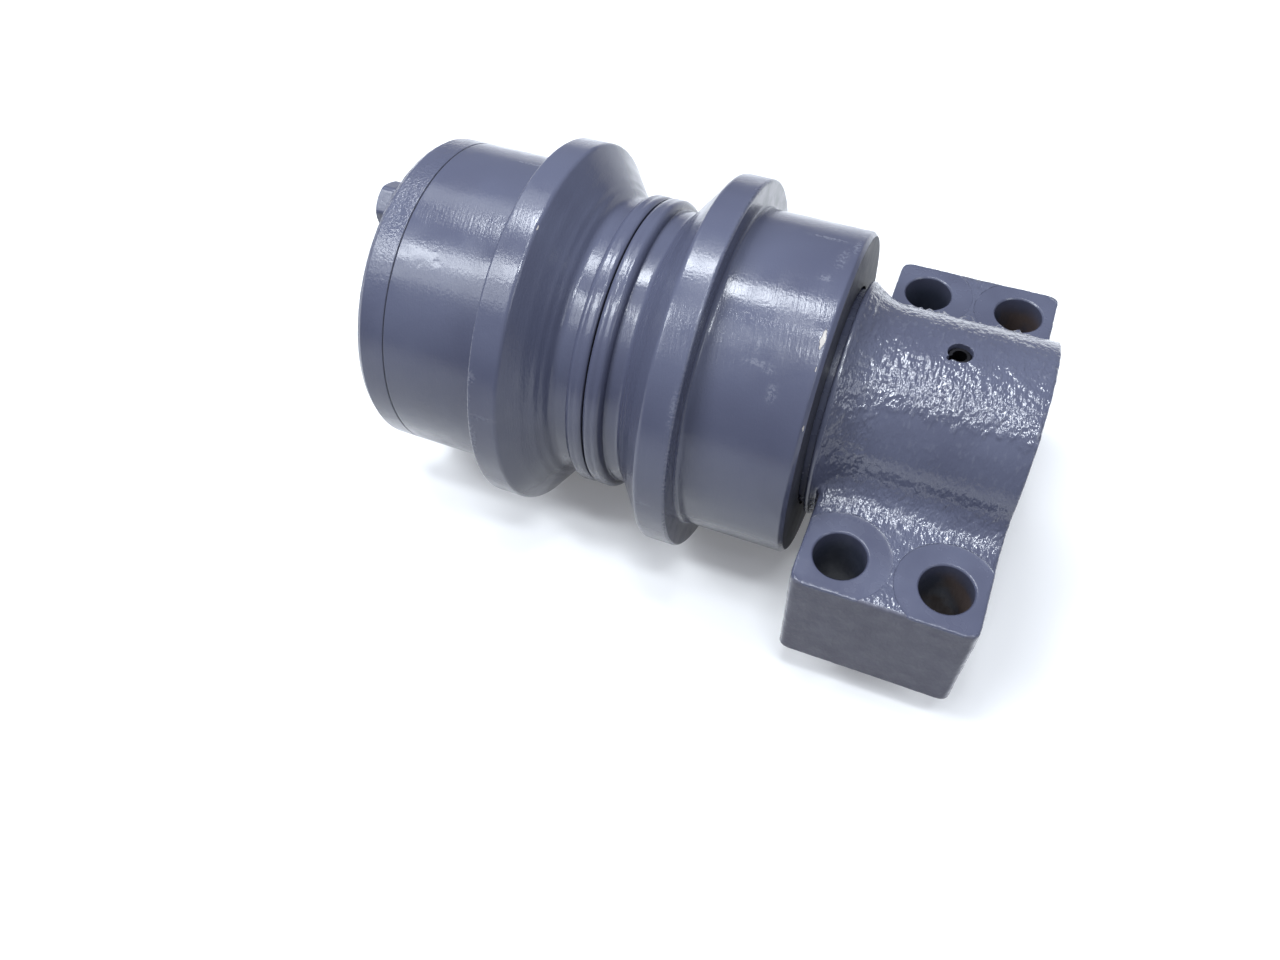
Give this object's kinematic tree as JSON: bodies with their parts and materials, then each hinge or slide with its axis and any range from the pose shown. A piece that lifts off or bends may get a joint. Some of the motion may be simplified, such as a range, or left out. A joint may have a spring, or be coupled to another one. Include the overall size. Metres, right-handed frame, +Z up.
{
  "type": "carrier roller",
  "caption": "Carrier roller for a crawler track: double-flanged hollow roller turning on a stepped shaft, pinned in a cast bracket with two bolted feet; face seal and bolted cover.",
  "frame": {"origin": "centre of the four-bolt pattern on the underside of the feet", "axes": "+X along the roller's axis towards the bracket end, +Z up from the underside of the feet"},
  "size_m": [0.3531, 0.231, 0.2036],
  "materials": {
    "cast_paint": "gloss enamel over rough sand casting",
    "roller_paint": "gloss enamel over turned forging",
    "ground_steel": "ground",
    "spring_steel": "blackened",
    "seal_iron": "lapped face",
    "seal_rubber": "matt",
    "bronze": "turned",
    "copper": "soft annealed"
  },
  "bodies": {
    "bracket": {"bracket": "cast_paint", "shaft": "ground_steel", "shaft_oring": "seal_rubber", "lock_pin": "spring_steel", "fixed_seal_ring": "seal_iron", "fixed_seal_toric": "seal_rubber", "thrust_plate": "ground_steel", "thrust_plate_bolts": "spring_steel", "thrust_plate_washers": "spring_steel"},
    "roller": {"inboard_shell_half": "roller_paint", "outboard_shell_half": "roller_paint", "inboard_bushing": "bronze", "outboard_bushing": "bronze", "rotating_seal_ring": "seal_iron", "rotating_seal_toric": "seal_rubber", "end_cover": "roller_paint", "cover_bolts": "roller_paint", "cover_washers": "roller_paint", "cover_oring": "seal_rubber", "oil_plug": "roller_paint", "oil_plug_gasket": "copper"}
  },
  "joints": [
    {"name": "roller_spin", "type": "hinge", "parent": "bracket", "child": "roller", "pos_m": [-0.1667, 0, 0.069], "axis": [1, 0, 0], "continuous": true}
  ]
}
